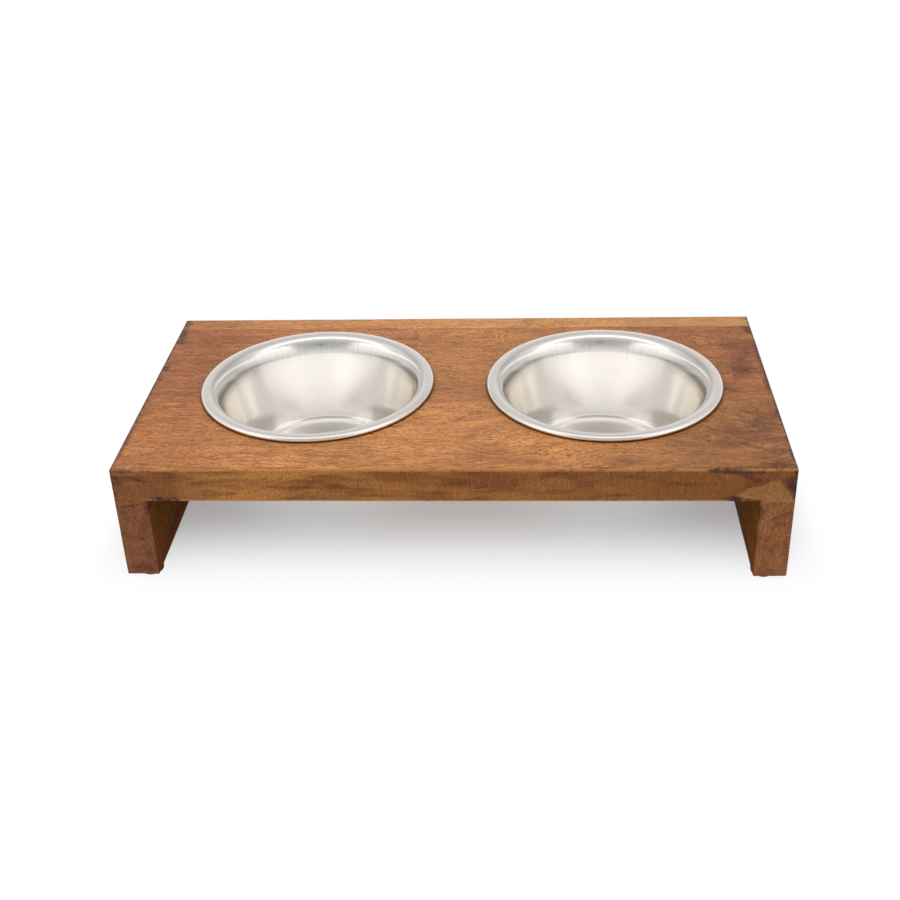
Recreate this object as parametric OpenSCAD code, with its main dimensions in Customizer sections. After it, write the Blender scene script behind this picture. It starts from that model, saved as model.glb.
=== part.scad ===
// Raised feeding bench for a small pet. An edge-glued wooden top with two round
// cut-outs stands on two plank legs, and two pressed steel bowls drop into it.
// Millimetres, +Z up, front at -Y. The origin is on the floor, under the middle
// of the bench.

/* [Bench] */
// Length of the top, left to right
board_length = 355; // [330:1:450]
// Depth of the top and of the legs, front to rear
board_depth = 185; // [170:1:240]
// Thickness of the top
board_thickness = 19; // [15:0.5:30]
// Thickness of each leg plank
leg_thickness = 18; // [15:0.5:30]
// Height of each leg plank under the top
leg_height = 47.5; // [40:0.5:150]
// Width of the flat sanded on the outer edges
edge_ease = 0.8; // [0.3:0.1:2]

/* [Staves of the top] */
// Distance from the cut-outs' centres forward to the full-length front stave
front_joint_offset = 20.5; // [12:0.5:24]
// Depth of the narrow strip along the rear
rear_strip_depth = 14.5; // [8:0.5:18]
// Distance from the left end to the butt joint in the rear strip
rear_joint = 147; // [120:1:240]
// How far the left cut-out reaches past the butt joint beside it
left_joint_bite = 6.3; // [5:0.1:10]
// Distance from the right cut-out's centre left to the butt joint behind it
right_joint_offset = 20.5; // [0:0.5:40]

/* [Bowls] */
// Outer diameter of the bowl's rolled rim
rim_d = 134; // [124:0.5:140]
// Height from the underside of the floor to the top of the rim
bowl_depth = 52; // [42:0.5:55]
// Thickness of the steel sheet
bowl_sheet = 0.8; // [0.5:0.1:1.2]
// Radius of the rolled outer edge
roll_r = 1.7; // [1.5:0.1:3]
// Radius of the hem tucked under the rolled edge
tuck_r = 0.9; // [0.8:0.1:1.4]
// Width of the flat hem turned in under the rim
hem_width = 1.5; // [0.5:0.1:2]
// Width of the flat ring on top of the rim
rim_flat = 2.1; // [0.5:0.1:3]
// Radius of the lip where the rim turns down into the bowl
lip_r = 6.5; // [5.5:0.1:8]
// Radius of the shoulder between the lip and the wall
shoulder_r = 25; // [15:1:40]
// Turn of the shoulder, in degrees
shoulder_turn = 16; // [8:1:20]
// Lean of the wall from upright, in degrees
wall_lean = 12; // [6:1:16]
// Radius between the wall and the floor, on the food side
corner_r = 4; // [2.5:0.5:9]
// Diameter of the raised disc pressed into the floor
disc_d = 66; // [30:1:70]
// Height of the raised disc
disc_rise = 1; // [0.6:0.1:2]

/* [Cut-outs] */
// Distance between the centres of the two cut-outs
bowl_pitch = 164.3; // [150:0.1:172]
// Shift of the pair of cut-outs to the right of the middle
cutout_shift_x = 1.9; // [-4:0.1:4]
// Shift of the pair of cut-outs to the rear of the middle
cutout_shift_y = 2; // [-4:0.5:4]
// Gap round the bowl where it passes the top's upper face
cutout_gap = 1.4; // [0.8:0.1:2.5]
// Gap under the hem where the rim sits on the top
seat_gap = 0.2; // [0.1:0.1:0.5]

/* [Dowels] */
// Diameter of each dowel
dowel_d = 8; // [6:0.5:10]
// Length of each dowel
dowel_length = 30; // [24:1:40]
// Length of dowel that stands in the top
dowel_in_top = 12; // [8:1:13]
// Distance from the front and rear faces to the outer dowels of a leg
dowel_inset = 32.5; // [20:0.5:45]
// Number of glue flutes round a dowel
dowel_flutes = 12; // [6:1:16]
// Radius of each glue flute
flute_r = 0.45; // [0.3:0.05:0.6]
// Gap round a dowel in its hole
dowel_gap = 0.05; // [0.02:0.01:0.2]
// Glue space past each end of a dowel
dowel_end_gap = 1; // [0.5:0.5:1.5]

/* [Feet] */
// Diameter of each rubber foot
foot_d = 12.7; // [9:0.1:14]
// Height of each rubber foot
foot_height = 2; // [1.5:0.1:5]
// Radius of the round on a foot's lower edge
foot_round = 1; // [0.4:0.1:1.2]
// Distance from a leg's inner face to the centre of its feet
foot_inset_x = 6.5; // [6.5:0.1:8]
// Distance from the front and rear faces to the centres of the feet
foot_inset_y = 8.2; // [8:0.1:30]

/* [Hidden] */

$fn = 96;
wood_fn = 32;
overcut = 1;
left = -1;
right = 1;
front = -1;
middle = 0;
rear = 1;

// Heights of the bench
leg_bottom_z = foot_height;
board_bottom_z = leg_bottom_z + leg_height;
board_top_z = board_bottom_z + board_thickness;

// Outer faces of the top
left_x = -board_length / 2;
right_x = board_length / 2;
front_y = -board_depth / 2;
rear_y = board_depth / 2;

// Legs, dowels and feet, on the right side; the left side mirrors them
leg_x = right_x - leg_thickness / 2;
dowel_y = rear_y - dowel_inset;
dowel_hole_r = dowel_d / 2 + dowel_gap;
dowel_bottom_z = board_bottom_z + dowel_in_top - dowel_length;
dowel_hole_length = dowel_length + 2 * dowel_end_gap;
dowel_chamfer = 0.8;
foot_x = right_x - leg_thickness + foot_inset_x;
foot_y = rear_y - foot_inset_y;

// The bowl's sheet is drawn about its middle line, from the height of its seat
half_sheet = bowl_sheet / 2;
rim_height = roll_r + tuck_r;
rim_r = rim_d / 2;
lip_n = lip_r - half_sheet;
shoulder_n = shoulder_r - half_sheet;
roll_n = roll_r - half_sheet;
tuck_n = tuck_r - half_sheet;
corner_n = corner_r + half_sheet;
roll_c = [rim_r - roll_r, rim_height - roll_r];
tuck_c = [rim_r - tuck_r, tuck_r];
lip_c = [rim_r - roll_r - rim_flat, rim_height - lip_r];
lip_lean = wall_lean + shoulder_turn;
shoulder_c = lip_c + (shoulder_n - lip_n) * [cos(lip_lean), -sin(lip_lean)];
floor_z = rim_height - bowl_depth + half_sheet;
wall_top = shoulder_c + shoulder_n * [-cos(wall_lean), sin(wall_lean)];
wall_foot_z = floor_z + corner_n * (1 - sin(wall_lean));
wall_foot_x = wall_top.x - (wall_top.y - wall_foot_z) * tan(wall_lean);
corner_c = [wall_foot_x - corner_n * cos(wall_lean), floor_z + corner_n];
step_turn = 45;
step_n = disc_rise / (2 * (1 - cos(step_turn)));
disc_c = [disc_d / 2, floor_z + disc_rise - step_n];
step_c = [disc_c.x + 2 * step_n * sin(step_turn), floor_z + step_n];

// Radius of the lip's underside at the top's upper face, and the hole round it
neck_r = lip_c.x - sqrt(pow(lip_r - bowl_sheet, 2) - pow(lip_c.y, 2));
cutout_r = neck_r + cutout_gap;

// Joints between the staves of the top
front_joint_y = cutout_shift_y - front_joint_offset;
rear_joint_y = rear_y - rear_strip_depth;
strip_joint_x = left_x + rear_joint;
left_joint_x = bowl_x(left) + cutout_r - left_joint_bite;
right_joint_x = bowl_x(right) - right_joint_offset;

wood_colour = "#a8652f";
end_grain_colour = "#8a4f26";
dowel_colour = "#d9b98a";
steel_colour = "#cfcbc6";
rubber_colour = "#1c1b1a";

// Points of an arc about c, from angle a0 to angle a1
function arc(c, r, a0, a1, steps) =
    [for (i = [0:steps]) let (a = a0 + (a1 - a0) * i / steps) c + r * [cos(a), sin(a)]];

function reversed(points) = [for (i = [len(points) - 1:-1:0]) points[i]];

function bowl_x(side) = cutout_shift_x + side * bowl_pitch / 2;

// Outline of a rectangle whose lower and upper corners are cut off by a chamfer
function eased_outline(w, low, high, cut_low, cut_high) =
    [[-w / 2 + cut_low, low], [w / 2 - cut_low, low],
     [w / 2, low + cut_low], [w / 2, high - cut_high],
     [w / 2 - cut_high, high], [-w / 2 + cut_high, high],
     [-w / 2, high - cut_high], [-w / 2, low + cut_low]];

// Block of wood with its upright corners eased, and its lower and upper edges as asked
module eased_block(w, d, low, high, cut_low, cut_high) {
    intersection() {
        translate([0, 0, low])
            linear_extrude(height = high - low)
                polygon(eased_outline(w, -d / 2, d / 2, edge_ease, edge_ease));
        translate([0, d / 2, 0])
            rotate([90, 0, 0])
                linear_extrude(height = d)
                    polygon(eased_outline(w, low, high, cut_low, cut_high));
        translate([-w / 2, 0, 0])
            rotate([90, 0, 90])
                linear_extrude(height = w)
                    polygon(eased_outline(d, low, high, cut_low, cut_high));
    }
}

// Hole through the top for one bowl, with its upper edge eased
module cutout(side) {
    translate([bowl_x(side), cutout_shift_y, 0]) {
        translate([0, 0, board_bottom_z - overcut])
            cylinder(h = board_thickness + 2 * overcut, r = cutout_r);
        translate([0, 0, board_top_z - edge_ease])
            cylinder(h = 2 * edge_ease, r1 = cutout_r, r2 = cutout_r + 2 * edge_ease);
    }
}

// The three dowel holes of one leg, through the joint into the top
module dowel_holes(side) {
    for (place = [front, middle, rear])
        translate([side * leg_x, place * dowel_y, dowel_bottom_z - dowel_end_gap])
            cylinder(h = dowel_hole_length, r = dowel_hole_r, $fn = wood_fn);
}

// One stave of the top: its share of the eased board, less the holes in it
module stave(x0, x1, y0, y1) {
    color(wood_colour)
        difference() {
            intersection() {
                eased_block(board_length, board_depth, board_bottom_z, board_top_z, 0, edge_ease);
                translate([x0, y0, board_bottom_z])
                    cube([x1 - x0, y1 - y0, board_thickness]);
            }
            for (side = [left, right]) {
                cutout(side);
                dowel_holes(side);
            }
        }
}

module top_stave_front() {
    stave(left_x, right_x, front_y, front_joint_y);
}

module top_stave_left() {
    stave(left_x, left_joint_x, front_joint_y, rear_joint_y);
}

module top_stave_middle() {
    stave(left_joint_x, right_joint_x, front_joint_y, rear_joint_y);
}

module top_stave_right() {
    stave(right_joint_x, right_x, front_joint_y, rear_joint_y);
}

module top_strip_left() {
    stave(left_x, strip_joint_x, rear_joint_y, rear_y);
}

module top_strip_right() {
    stave(strip_joint_x, right_x, rear_joint_y, rear_y);
}

// Plank leg, flush with the end, the front and the rear of the top
module leg(side) {
    color(end_grain_colour)
        difference() {
            translate([side * leg_x, 0, 0])
                eased_block(leg_thickness, board_depth, leg_bottom_z, board_bottom_z, edge_ease, 0);
            dowel_holes(side);
        }
}

// Fluted dowel across the joint of a leg and the top
module dowel(side, place) {
    r = dowel_d / 2;
    color(dowel_colour)
        translate([side * leg_x, place * dowel_y, dowel_bottom_z])
            difference() {
                rotate_extrude($fn = wood_fn)
                    polygon([[0, 0], [r - dowel_chamfer, 0], [r, dowel_chamfer],
                             [r, dowel_length - dowel_chamfer], [r - dowel_chamfer, dowel_length],
                             [0, dowel_length]]);
                for (i = [0:dowel_flutes - 1])
                    rotate([0, 0, i * 360 / dowel_flutes])
                        translate([r, 0, -overcut])
                            cylinder(h = dowel_length + 2 * overcut, r = flute_r, $fn = wood_fn);
            }
}

// Stick-on rubber foot with a rounded lower edge
module foot(side, place) {
    r = foot_d / 2;
    color(rubber_colour)
        translate([side * foot_x, place * foot_y, 0])
            rotate_extrude()
                polygon(concat([[0, 0]], arc([r - foot_round, foot_round], foot_round, -90, 0, 6),
                               [[r, foot_height], [0, foot_height]]));
}

// One skin of the bowl's sheet, from the middle of the floor out to the hem:
// h is half the sheet on the food side, and minus that on the underside
function bowl_skin(h) = concat(
    [[0, floor_z + disc_rise + h]],
    arc(disc_c, step_n + h, 90, 90 - step_turn, 3),
    arc(step_c, step_n - h, 270 - step_turn, 270, 3),
    arc(corner_c, corner_n - h, 270, 360 - wall_lean, 8),
    arc(shoulder_c, shoulder_n + h, 180 - wall_lean, 180 - lip_lean, 4),
    arc(lip_c, lip_n + h, 180 - lip_lean, 90, 10),
    arc(roll_c, roll_n + h, 90, 0, 8),
    arc(tuck_c, tuck_n + h, 0, -90, 6),
    [[tuck_c.x - hem_width, tuck_r - tuck_n - h]]
);

// Pressed bowl: raised floor disc, leaning wall, shoulder, lip and a rolled, hemmed rim
module bowl(side) {
    color(steel_colour)
        translate([bowl_x(side), cutout_shift_y, board_top_z + seat_gap])
            rotate_extrude()
                polygon(concat(bowl_skin(half_sheet), reversed(bowl_skin(-half_sheet))));
}

top_stave_front();
top_stave_left();
top_stave_middle();
top_stave_right();
top_strip_left();
top_strip_right();
leg(left);  // leg_left
leg(right);  // leg_right
dowel(left, front);  // dowel_left_front
dowel(left, middle);  // dowel_left_middle
dowel(left, rear);  // dowel_left_rear
dowel(right, front);  // dowel_right_front
dowel(right, middle);  // dowel_right_middle
dowel(right, rear);  // dowel_right_rear
foot(left, front);  // foot_front_left
foot(right, front);  // foot_front_right
foot(left, rear);  // foot_rear_left
foot(right, rear);  // foot_rear_right
bowl(left);  // bowl_left
bowl(right);  // bowl_right
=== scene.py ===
# %% [markdown]
# # A raised pet feeder
# The object is a low hardwood bench with two steel bowls hung in round cut-outs.
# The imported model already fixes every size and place, so this lesson only dresses it:
# each stave, leg, foot and bowl is modelled again with the soft edges and thin sheet
# of the real one, then given a finish made of nodes. Lengths are in metres, and those
# that are easier to think of in millimetres are turned into metres by MM or mm.

# %% Load the frame
import math

import bpy
from mathutils import Matrix, Vector


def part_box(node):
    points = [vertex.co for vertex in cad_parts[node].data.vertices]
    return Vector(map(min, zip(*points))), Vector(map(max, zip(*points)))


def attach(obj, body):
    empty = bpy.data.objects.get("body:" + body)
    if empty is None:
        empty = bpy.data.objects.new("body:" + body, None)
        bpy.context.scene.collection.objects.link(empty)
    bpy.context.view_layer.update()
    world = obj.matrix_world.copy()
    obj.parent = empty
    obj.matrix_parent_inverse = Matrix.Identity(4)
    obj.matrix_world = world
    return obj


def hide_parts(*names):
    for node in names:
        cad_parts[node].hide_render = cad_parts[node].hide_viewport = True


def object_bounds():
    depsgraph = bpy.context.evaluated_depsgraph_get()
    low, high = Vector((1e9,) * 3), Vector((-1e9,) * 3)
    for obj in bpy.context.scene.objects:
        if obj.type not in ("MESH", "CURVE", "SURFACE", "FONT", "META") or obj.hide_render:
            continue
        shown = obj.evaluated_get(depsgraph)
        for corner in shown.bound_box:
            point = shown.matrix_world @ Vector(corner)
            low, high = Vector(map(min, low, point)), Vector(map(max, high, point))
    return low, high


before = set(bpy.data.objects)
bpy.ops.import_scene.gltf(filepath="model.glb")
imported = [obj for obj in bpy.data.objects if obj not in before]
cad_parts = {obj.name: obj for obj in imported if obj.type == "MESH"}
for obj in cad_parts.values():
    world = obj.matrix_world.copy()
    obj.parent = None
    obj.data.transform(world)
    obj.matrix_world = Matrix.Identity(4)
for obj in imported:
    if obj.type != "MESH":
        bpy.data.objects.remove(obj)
cad_low, cad_high = [Vector(corner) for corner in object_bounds()]
MM = 0.001


def mm(*lengths):
    """Lengths given in millimetres, in metres."""
    return [length * MM for length in lengths]


def in_mm(*lengths):
    """Lengths in metres as millimetres, rounded for printing."""
    return [round(length / MM, 1) for length in lengths]


print("CAD box in mm:", in_mm(*cad_low, *cad_high))

# %% [markdown]
# ## The camera
# A product photograph like this is taken with a normal lens from about three quarters of
# a metre. The place and angles below are those at which the bench's corners fall where
# they do in a square picture of 900 pixels. The aim is built by turns, in the order in
# which a tripod head is set: pan first, then tilt, then the small roll.

# %% Camera
PICTURE_SIDE = 900
SENSOR_WIDTH = 36.0
focal_pixels = 1323.7
camera_place = Vector((40.7, -671.5, 420.7)) * MM
camera_pan = math.radians(3.91)
camera_tilt = math.radians(30.39)
camera_roll = math.radians(-2.08)
nearest_seen = 20 * MM

bpy.ops.object.camera_add()
camera = bpy.context.object
camera.data.sensor_width = SENSOR_WIDTH
camera.data.lens = focal_pixels / PICTURE_SIDE * SENSOR_WIDTH
camera.data.clip_start = nearest_seen
camera.matrix_world = (
    Matrix.Translation(camera_place)
    @ Matrix.Rotation(camera_pan, 4, "Z")
    @ Matrix.Rotation(math.pi / 2 - camera_tilt, 4, "X")
    @ Matrix.Rotation(camera_roll, 4, "Z")
)
bpy.context.scene.camera = camera
print("lens in mm:", round(camera.data.lens, 1))

# %% [markdown]
# ## Writing shaders as sums
# Wiring nodes by hand hides the arithmetic behind a finish. The small class below wraps
# an output socket so that Python's own signs add the Math nodes, and a Finish holds the
# material that is being built. One method makes every other kind of node.

# %% Sockets that can be added and multiplied
class Signal:
    """A shader value that can be used in sums, also with plain numbers."""

    def __init__(self, tree, socket):
        self.tree = tree
        self.socket = socket

    def output(self, name):
        """Another output of the node that this value comes from."""
        return Signal(self.tree, self.socket.node.outputs[name])

    def math(self, operation, *values):
        """What a Math node makes of these values."""
        node = self.tree.nodes.new("ShaderNodeMath")
        node.operation = operation
        for socket, value in zip(node.inputs, values):
            plug(self.tree, socket, value)
        return Signal(self.tree, node.outputs[0])

    def __add__(self, other):
        return self.math("ADD", self, other)

    def __radd__(self, other):
        return self.math("ADD", other, self)

    def __sub__(self, other):
        return self.math("SUBTRACT", self, other)

    def __rsub__(self, other):
        return self.math("SUBTRACT", other, self)

    def __mul__(self, other):
        return self.math("MULTIPLY", self, other)

    def __rmul__(self, other):
        return self.math("MULTIPLY", other, self)

    def __truediv__(self, other):
        return self.math("DIVIDE", self, other)

    def __pow__(self, other):
        return self.math("POWER", self, other)

    def __neg__(self):
        return self.math("SUBTRACT", 0.0, self)

    def __abs__(self):
        return self.math("ABSOLUTE", self)


def plug(tree, socket, value):
    """Links a Signal to a socket, or sets the socket to a plain value."""
    if isinstance(value, Signal):
        tree.links.new(value.socket, socket)
    else:
        socket.default_value = value


# %% Colours in plain numbers
def linear(channel):
    """A screen's channel, from 0 to 1, as the share of light that it stands for."""
    if channel <= 0.04045:
        return channel / 12.92
    return ((channel + 0.055) / 1.055) ** 2.4


def tint(code):
    """A colour as it looks on a screen, such as b06e3e, in the linear numbers shaders use."""
    return (*[linear(int(code[i:i + 2], 16) / 255) for i in (0, 2, 4)], 1.0)


def grey(level):
    """A neutral colour in linear numbers."""
    return (level, level, level, 1.0)


# %% The finish under construction
class Finish:
    """A material or a world, and the nodes that its pattern is made of."""

    def __init__(self, owner):
        self.owner = owner
        owner.use_nodes = True
        self.tree = owner.node_tree
        self.tree.nodes.clear()

    def node(self, kind, settings=None, sockets=None):
        """Adds one node: its settings first, then the values or links of its sockets."""
        made = self.tree.nodes.new(kind)
        for key, value in (settings or {}).items():
            setattr(made, key, value)
        for key, value in (sockets or {}).items():
            plug(self.tree, made.inputs[key], value)
        return Signal(self.tree, made.outputs[0]) if made.outputs else None

    def own_place(self):
        """Each point's place in the piece's own coordinates, which are the frame's."""
        return self.node("ShaderNodeTexCoord").output("Object")

    def split(self, vector):
        """The three numbers of a vector."""
        made = self.node("ShaderNodeSeparateXYZ", {}, {0: vector})
        return [made.output(axis) for axis in "XYZ"]

    def join(self, x, y, z):
        return self.node("ShaderNodeCombineXYZ", {}, {0: x, 1: y, 2: z})

    def scaled(self, vector, factors):
        return self.node("ShaderNodeVectorMath", {"operation": "MULTIPLY"}, {0: vector, 1: factors})

    def moved(self, vector, step):
        return self.node("ShaderNodeVectorMath", {"operation": "ADD"}, {0: vector, 1: step})

    def in_steps(self, place, sizes):
        """A place counted in steps of these sizes in millimetres, along X, Y and Z."""
        return self.scaled(place, [1 / (size * MM) for size in sizes])

    def noise(self, vector, detail=3.0, rough=0.5):
        """Cloudy noise that changes over about one unit of the vector."""
        sockets = {"Vector": vector, "Scale": 1.0, "Detail": detail, "Roughness": rough}
        return self.node("ShaderNodeTexNoise", {}, sockets)

    def blots(self, place, sizes, detail=3.0, rough=0.5):
        """Noise whose blots have about these sizes in millimetres, along X, Y and Z."""
        return self.noise(self.in_steps(place, sizes), detail, rough)

    def rise(self, value, low, high):
        """0 below low, 1 above high and smooth between; low may be the larger."""
        sockets = {"Value": value, "From Min": low, "From Max": high}
        return self.node("ShaderNodeMapRange", {"interpolation_type": "SMOOTHSTEP"}, sockets)

    def between(self, value, start, full, fade, end):
        """0 up to start and past end, 1 from full to fade."""
        return self.rise(value, start, full) * self.rise(value, end, fade)

    def mix(self, factor, first, second, blend="MIX"):
        """Two colours mixed; 6 and 7 are the colour inputs of a Mix node, 2 its colour output."""
        settings = {"data_type": "RGBA", "blend_type": blend, "clamp_factor": True}
        return self.node("ShaderNodeMix", settings, {0: factor, 6: first, 7: second}).output(2)

    def lay(self, colour, code, part, start, full, strength):
        """Lays a tint over a colour, up to its strength, where the part goes from start to full."""
        return self.mix(self.rise(part, start, full) * strength, colour, tint(code))

    def wash(self, colour, code, amount):
        """Darkens a colour by a tint, as a thin coat of stain does."""
        return self.mix(amount, colour, self.mix(1.0, colour, tint(code), "MULTIPLY"))

    def coated(self, colour, rough, relief, strength, depth, more):
        """The finished material, with a relief of this depth and any more sockets."""
        bump_sockets = {"Strength": strength, "Distance": depth, "Height": relief}
        bump = self.node("ShaderNodeBump", {}, bump_sockets)
        sockets = {"Base Color": colour, "Roughness": rough, "Normal": bump, **more}
        return self.surface(self.node("ShaderNodeBsdfPrincipled", {}, sockets))

    def surface(self, shader):
        """Wires a shader to the output and hands the finished material or world back."""
        kind = "World" if isinstance(self.owner, bpy.types.World) else "Material"
        self.node("ShaderNodeOutput" + kind, {}, {0: shader})
        print(self.owner.name, "nodes:", len(self.tree.nodes))
        return self.owner


def finish(name):
    """An empty material to build on."""
    return Finish(bpy.data.materials.new(name))


# %% [markdown]
# ## Studio
# The bench stands on white paper in a white room. Nothing in the picture has a hard
# shadow, so the room itself is the lamp and lights wood and paper evenly. Polished steel
# mirrors the room, and shows what it is like: a band of low windows that is brightest
# behind the bench, tall windows at either side, a lamp bar overhead, and a narrow dark
# front with the lens in it. The camera itself sees plain white.

# %% What hangs where in the room
lamp_level = 1.01
room_level = 0.80
low_window_gain = 0.18
rear_window_gain = 0.42
side_window_gain = 0.42
bar_gain = 0.75
front_loss = 0.38
lens_loss = 0.32

# the parts of a direction run from -1 to 1: x to the right, y to the rear and z up
low_window_heights = (0.18, 0.27, 0.36, 0.45)
low_window_stop = (0.78, 0.94)
rear_window_rise = (-0.70, 0.70)
side_window_rise = (0.46, 0.62)
side_window_stop = (0.10, -0.15)
side_window_heights = (0.36, 0.46, 0.60, 0.74)
bar_middle = -0.05
bar_width = (0.16, 0.07)
bar_rise = (0.60, 0.85)
front_rise = (0.10, 0.90)
front_heights = (0.03, 0.40)
front_width = (0.62, 0.42)
lens_direction = (0.05, -0.895, 0.443)
lens_cone = (math.cos(math.radians(4)), math.cos(math.radians(2)))

# %% A room that is its own lamp
world = bpy.data.worlds.new("studio")
bpy.context.scene.world = world
room = Finish(world)
x, y, z = room.split(room.node("ShaderNodeTexCoord").output("Generated"))
rays = room.node("ShaderNodeLightPath")
camera_ray = rays.output("Is Camera Ray")
glossy_ray = rays.output("Is Glossy Ray")

low_windows = room.between(z, *low_window_heights) * (1.0 - room.rise(-y, *low_window_stop))
low_light = low_window_gain + room.rise(y, *rear_window_rise) * rear_window_gain
side_windows = room.rise(abs(x), *side_window_rise) * room.rise(y, *side_window_stop)
side_windows = side_windows * room.between(z, *side_window_heights)
bar = room.rise(abs(y - bar_middle), *bar_width) * room.rise(z, *bar_rise)
front = room.rise(-y, *front_rise) * room.rise(z, *front_heights) * room.rise(abs(x), *front_width)
to_lens = x * lens_direction[0] + y * lens_direction[1] + z * lens_direction[2]
lens = room.rise(to_lens, *lens_cone)

mirrored = room_level + low_windows * low_light + side_windows * side_window_gain
mirrored = mirrored + bar * bar_gain - front * front_loss - lens * lens_loss
level = lamp_level + glossy_ray * (mirrored - lamp_level)
level = level + camera_ray * (1.0 - level)
room.surface(room.node("ShaderNodeBackground", {}, {"Color": grey(1.0), "Strength": level}))

# %% [markdown]
# ## Paper floor
# The paper keeps the bench's soft shadow under the board, and lets it fade to plain white
# at the board's edges, as in a picture cleaned up for a shop. Light that the paper throws
# back on to the wood is kept lower than white paper would give, and the paper is a little
# cool, which takes the wood's own warmth out of the shadow.

# %% Floor
floor_side = 12.0
shadow_share = 0.70
depth_fade = mm(-20, 70)
length_fade = mm(30, 0)
seen_paper = (0.92, 0.96, 0.99, 1.0)
bounce_paper = grey(0.50)
mirrored_paper = grey(0.86)

bpy.ops.object.select_all(action="DESELECT")
bpy.ops.mesh.primitive_plane_add(size=floor_side)
floor = bpy.context.object
floor.name = "paper_floor"
paper = finish("paper")
x, y = paper.split(paper.own_place())[:2]
under_board = paper.rise(cad_high.y - abs(y), *depth_fade)
under_board = under_board * paper.rise(abs(x) - cad_high.x, *length_fade)
rays = paper.node("ShaderNodeLightPath")
camera_ray = rays.output("Is Camera Ray")
seen = camera_ray + rays.output("Is Glossy Ray")
whiten = seen * (1.0 - shadow_share * under_board)
lit = paper.node("ShaderNodeBsdfDiffuse", {}, {"Color": paper.mix(seen, bounce_paper, seen_paper)})
glow = paper.mix(camera_ray, mirrored_paper, grey(1.0))
plain = paper.node("ShaderNodeEmission", {}, {"Color": glow, "Strength": 1.0})
upper_side = paper.node("ShaderNodeMixShader", {}, {0: whiten, 1: lit, 2: plain})
# seen from below, the paper is clear, so that the bench's underside can be looked at
from_below = paper.node("ShaderNodeNewGeometry").output("Backfacing")
clear = paper.node("ShaderNodeBsdfTransparent")
both_sides = paper.node("ShaderNodeMixShader", {}, {0: from_below, 1: upper_side, 2: clear})
floor.data.materials.append(paper.surface(both_sides))

# %% [markdown]
# ## Hand tools
# Modelling by hand is a round of the same moves: add a primitive, pick faces or edges,
# run an operator on them. These helpers pick by a test on place, so that each step below
# says what it works on. Everything is deselected before a piece is added.

# %% Adding pieces
def clear_bench():
    """Leaves edit mode with nothing selected, ready for a new primitive."""
    if bpy.context.object and bpy.context.object.mode != "OBJECT":
        bpy.ops.object.mode_set(mode="OBJECT")
    bpy.ops.object.select_all(action="DESELECT")


def hold(piece):
    """Leaves edit mode, and makes this piece the only one that operators work on."""
    clear_bench()
    piece.select_set(True)
    bpy.context.view_layer.objects.active = piece


def settle(name):
    """Names the piece just added and moves its place into its mesh."""
    piece = bpy.context.object
    piece.name = name
    piece.data.name = name
    bpy.ops.object.transform_apply(location=True, rotation=True, scale=True)
    return piece


def add_block(name, low, high):
    clear_bench()
    bpy.ops.mesh.primitive_cube_add(size=1, location=(low + high) / 2, scale=high - low)
    return settle(name)


def add_cylinder(name, centre, radius, low, high, sides):
    clear_bench()
    middle = (centre.x, centre.y, (low + high) / 2)
    height = high - low
    bpy.ops.mesh.primitive_cylinder_add(vertices=sides, radius=radius, depth=height, location=middle)
    return settle(name)


# %% Working on them
def pick(piece, part, test):
    """Opens edit mode with just the faces or the edges selected that pass the test."""
    hold(piece)
    bpy.ops.object.mode_set(mode="EDIT")
    bpy.ops.mesh.select_mode(type={"faces": "FACE", "edges": "EDGE"}[part])
    bpy.ops.mesh.select_all(action="DESELECT")
    bpy.ops.object.mode_set(mode="OBJECT")
    if part == "faces":
        for face in piece.data.polygons:
            face.select = test(face.center, face.normal)
    else:
        spot = [vertex.co for vertex in piece.data.vertices]
        for edge in piece.data.edges:
            edge.select = test(spot[edge.vertices[0]], spot[edge.vertices[1]])
    bpy.ops.object.mode_set(mode="EDIT")


facing = 0.9


def whole(centre, normal):
    """Passes every face."""
    return True


def faces_up(centre, normal):
    return normal.z > facing


def faces_down(centre, normal):
    return normal.z < -facing


def apply_modifier(piece, kind, **settings):
    """Adds a modifier, sets it and applies it."""
    hold(piece)
    bpy.ops.object.modifier_add(type=kind)
    modifier = piece.modifiers[-1]
    for key, value in settings.items():
        setattr(modifier, key, value)
    bpy.ops.object.modifier_apply(modifier=modifier.name)


def cut_away(piece, cutters):
    """Cuts the cutters' shapes out of a piece, and throws the cutters away."""
    for cutter in cutters:
        apply_modifier(piece, "BOOLEAN", operation="DIFFERENCE", solver="EXACT", object=cutter)
        bpy.data.objects.remove(cutter)


def soften(piece, angle=35):
    """Smooth shading, kept crisp at edges sharper than the angle."""
    hold(piece)
    bpy.ops.object.shade_smooth_by_angle(angle=math.radians(angle))


def report(piece):
    print(piece.name, "faces:", len(piece.data.polygons))


# %% [markdown]
# ## Measures
# The staves, legs, feet and bowls take their boxes from the frame. Only what a box can't
# tell is written here: the sanded edges, the holes and the sheet of the bowls.

# %% Sizes that the pieces share
STAVES = ["top_stave_front", "top_stave_left", "top_stave_middle", "top_stave_right",
          "top_strip_left", "top_strip_right"]
LEGS = ["leg_left", "leg_right"]
FEET = ["foot_front_left", "foot_front_right", "foot_rear_left", "foot_rear_right"]
DOWELS = ["dowel_%s_%s" % (s, p) for s in ("left", "right") for p in ("front", "middle", "rear")]
BOWLS = ["bowl_left", "bowl_right"]

NEAR = 0.01 * MM
SAME_PLACE = 0.001 * MM
edge_round = 0.8 * MM
edge_steps = 3
wobble = 0.06 * MM
glue_line = 0.12 * MM
cutout_radius = 60.4 * MM
cutout_sides = 144
dowel_hole_radius = 4.05 * MM
dowel_hole_sides = 24
dowel_end_gap = 1.0 * MM


def box_centre(node):
    low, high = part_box(node)
    return (low + high) / 2


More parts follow.
